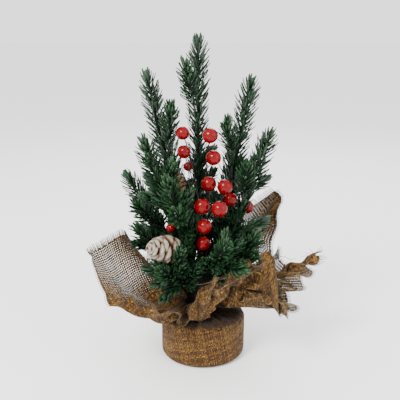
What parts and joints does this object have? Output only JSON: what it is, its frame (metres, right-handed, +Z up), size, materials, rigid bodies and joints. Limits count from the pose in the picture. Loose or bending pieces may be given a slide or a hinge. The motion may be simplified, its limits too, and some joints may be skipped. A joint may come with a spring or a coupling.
{
  "type": "artificial tabletop tree",
  "caption": "Small artificial conifer with glossy red berry picks and pine cones, its round weighted foot wrapped in a tied square of burlap with flared corners.",
  "frame": {"origin": "middle of the foot's underside, where it stands", "axes": "+Z up along the post; the seen side, with most berries, faces -Y"},
  "size_m": [0.216, 0.1479, 0.3],
  "materials": {
    "plaster": "matt plaster",
    "burlap": "coarse open weave",
    "elastic": "matt",
    "green_plastic": "matt",
    "floral_tape": "waxed crepe",
    "needle_plastic": "satin",
    "wire": "matt",
    "berry": "high gloss",
    "cone_frosted": "white frosting over brown",
    "cone_brown": "matt"
  },
  "bodies": {
    "foot": {"foot_weight": "plaster", "burlap_foot": "burlap", "burlap_neck": "burlap", "neck_tie": "elastic", "post": "green_plastic", "post_tape": "floral_tape", "burlap_wing_left": "burlap", "burlap_wing_back": "burlap", "burlap_wing_rear": "burlap", "burlap_wing_right": "burlap", "burlap_wing_front": "burlap"},
    "sprig_top": {"sprig_top_stem": "green_plastic", "sprig_top_needles": "needle_plastic"},
    "sprig_high_left": {"sprig_high_left_stem": "green_plastic", "sprig_high_left_needles": "needle_plastic"},
    "sprig_high_right": {"sprig_high_right_stem": "green_plastic", "sprig_high_right_needles": "needle_plastic"},
    "sprig_mid_left": {"sprig_mid_left_stem": "green_plastic", "sprig_mid_left_needles": "needle_plastic"},
    "sprig_mid_right": {"sprig_mid_right_stem": "green_plastic", "sprig_mid_right_needles": "needle_plastic"},
    "sprig_side_left": {"sprig_side_left_stem": "green_plastic", "sprig_side_left_needles": "needle_plastic"},
    "sprig_low_left": {"sprig_low_left_stem": "green_plastic", "sprig_low_left_needles": "needle_plastic"},
    "sprig_centre_front": {"sprig_centre_front_stem": "green_plastic", "sprig_centre_front_needles": "needle_plastic"},
    "sprig_low_front_left": {"sprig_low_front_left_stem": "green_plastic", "sprig_low_front_left_needles": "needle_plastic"},
    "sprig_low_front_right": {"sprig_low_front_right_stem": "green_plastic", "sprig_low_front_right_needles": "needle_plastic"},
    "sprig_low_right": {"sprig_low_right_stem": "green_plastic", "sprig_low_right_needles": "needle_plastic"},
    "sprig_back_left": {"sprig_back_left_stem": "green_plastic", "sprig_back_left_needles": "needle_plastic"},
    "sprig_back_right": {"sprig_back_right_stem": "green_plastic", "sprig_back_right_needles": "needle_plastic"},
    "sprig_back": {"sprig_back_stem": "green_plastic", "sprig_back_needles": "needle_plastic"},
    "pick_high_left": {"pick_high_left_wires": "wire", "pick_high_left_berries": "berry"},
    "pick_high_right": {"pick_high_right_wires": "wire", "pick_high_right_berries": "berry"},
    "pick_mid_right": {"pick_mid_right_wires": "wire", "pick_mid_right_berries": "berry"},
    "pick_centre": {"pick_centre_wires": "wire", "pick_centre_berries": "berry"},
    "pick_low": {"pick_low_wires": "wire", "pick_low_berries": "berry"},
    "pick_side_left": {"pick_side_left_wires": "wire", "pick_side_left_berries": "berry"},
    "pick_side_right": {"pick_side_right_wires": "wire", "pick_side_right_berries": "berry"},
    "frosted_cone": {"frosted_cone_wire": "wire", "frosted_cone_scales": "cone_frosted"},
    "brown_cone": {"brown_cone_wire": "wire", "brown_cone_scales": "cone_brown"}
  },
  "joints": [
    {"name": "sprig_top_bend", "type": "hinge", "parent": "foot", "child": "sprig_top", "pos_m": [-0.00274, 0.00752, 0.086], "axis": [-0.866, -0.5, 0], "range_deg": [-2, 4]},
    {"name": "sprig_high_left_bend", "type": "hinge", "parent": "foot", "child": "sprig_high_left", "pos_m": [-0.00765, 0.00234, 0.08], "axis": [-0.1045, -0.9945, 0], "range_deg": [-1, 6]},
    {"name": "sprig_high_right_bend", "type": "hinge", "parent": "foot", "child": "sprig_high_right", "pos_m": [0.00773, 0.00207, 0.08], "axis": [-0.1219, 0.9925, 0], "range_deg": [-2, 3]},
    {"name": "sprig_mid_left_bend", "type": "hinge", "parent": "foot", "child": "sprig_mid_left", "pos_m": [-0.00742, -0.003, 0.08], "axis": [0.5878, -0.809, 0], "range_deg": [-1, 1]},
    {"name": "sprig_mid_right_bend", "type": "hinge", "parent": "foot", "child": "sprig_mid_right", "pos_m": [0.00773, -0.00207, 0.072], "axis": [0.0349, 0.9994, 0], "range_deg": [0, 8]},
    {"name": "sprig_side_left_bend", "type": "hinge", "parent": "foot", "child": "sprig_side_left", "pos_m": [-0.008, 0, 0.066], "axis": [0.0349, -0.9994, 0], "range_deg": [-4, 2]},
    {"name": "sprig_low_left_bend", "type": "hinge", "parent": "foot", "child": "sprig_low_left", "pos_m": [-0.00736, -0.00313, 0.06], "axis": [0.2756, -0.9613, 0], "range_deg": [-2, 12]},
    {"name": "sprig_centre_front_bend", "type": "hinge", "parent": "foot", "child": "sprig_centre_front", "pos_m": [-0.00338, -0.00725, 0.078], "axis": [0.8572, -0.515, 0], "range_deg": [0, 3]},
    {"name": "sprig_low_front_left_bend", "type": "hinge", "parent": "foot", "child": "sprig_low_front_left", "pos_m": [-0.00376, -0.00706, 0.06], "axis": [0.848, -0.5299, 0], "range_deg": [0, 10]},
    {"name": "sprig_low_front_right_bend", "type": "hinge", "parent": "foot", "child": "sprig_low_front_right", "pos_m": [0.00207, -0.00773, 0.066], "axis": [0.9511, 0.309, 0], "range_deg": [-4, 8]},
    {"name": "sprig_low_right_bend", "type": "hinge", "parent": "foot", "child": "sprig_low_right", "pos_m": [0.00613, -0.00514, 0.06], "axis": [0.4226, 0.9063, 0], "range_deg": [-4, 2]},
    {"name": "sprig_back_left_bend", "type": "hinge", "parent": "foot", "child": "sprig_back_left", "pos_m": [-0.00566, 0.00566, 0.07], "axis": [-0.848, -0.5299, 0], "range_deg": [-5, 12]},
    {"name": "sprig_back_right_bend", "type": "hinge", "parent": "foot", "child": "sprig_back_right", "pos_m": [0.00514, 0.00613, 0.07], "axis": [-0.8746, 0.4848, 0], "range_deg": [-5, 12]},
    {"name": "sprig_back_bend", "type": "hinge", "parent": "foot", "child": "sprig_back", "pos_m": [0, 0.008, 0.062], "axis": [-1, 0, 0], "range_deg": [-5, 12]},
    {"name": "pick_high_left_bend", "type": "hinge", "parent": "foot", "child": "pick_high_left", "pos_m": [-0.00312, 0.0018, 0.092], "axis": [0.9397, -0.342, 0], "range_deg": [0, 4]},
    {"name": "pick_high_right_bend", "type": "hinge", "parent": "foot", "child": "pick_high_right", "pos_m": [0, 0.0036, 0.092], "axis": [0.9848, 0.1736, 0], "range_deg": [-4, 2]},
    {"name": "pick_mid_right_bend", "type": "hinge", "parent": "foot", "child": "pick_mid_right", "pos_m": [0.00312, -0.0018, 0.092], "axis": [0.866, 0.5, 0], "range_deg": [-3, 3]},
    {"name": "pick_centre_bend", "type": "hinge", "parent": "foot", "child": "pick_centre", "pos_m": [0, 0, 0.092], "axis": [0.9848, 0.1736, 0], "range_deg": [-3, 3]},
    {"name": "pick_low_bend", "type": "hinge", "parent": "foot", "child": "pick_low", "pos_m": [0, -0.0036, 0.092], "axis": [1, 0, 0], "range_deg": [-3, 10]},
    {"name": "pick_side_left_bend", "type": "hinge", "parent": "foot", "child": "pick_side_left", "pos_m": [-0.00312, -0.0018, 0.092], "axis": [0.342, -0.9397, 0], "range_deg": [0, 1]},
    {"name": "pick_side_right_bend", "type": "hinge", "parent": "foot", "child": "pick_side_right", "pos_m": [0.00312, 0.0018, 0.092], "axis": [-0.5, 0.866, 0], "range_deg": [-3, 1]},
    {"name": "frosted_cone_bend", "type": "hinge", "parent": "foot", "child": "frosted_cone", "pos_m": [-0.00594, -0.00535, 0.069], "axis": [0.6428, -0.766, 0], "range_deg": [0, 2]},
    {"name": "brown_cone_bend", "type": "hinge", "parent": "foot", "child": "brown_cone", "pos_m": [-0.00799, -0.00042, 0.087], "axis": [-0.0872, -0.9962, 0], "range_deg": [-1, 5]}
  ]
}
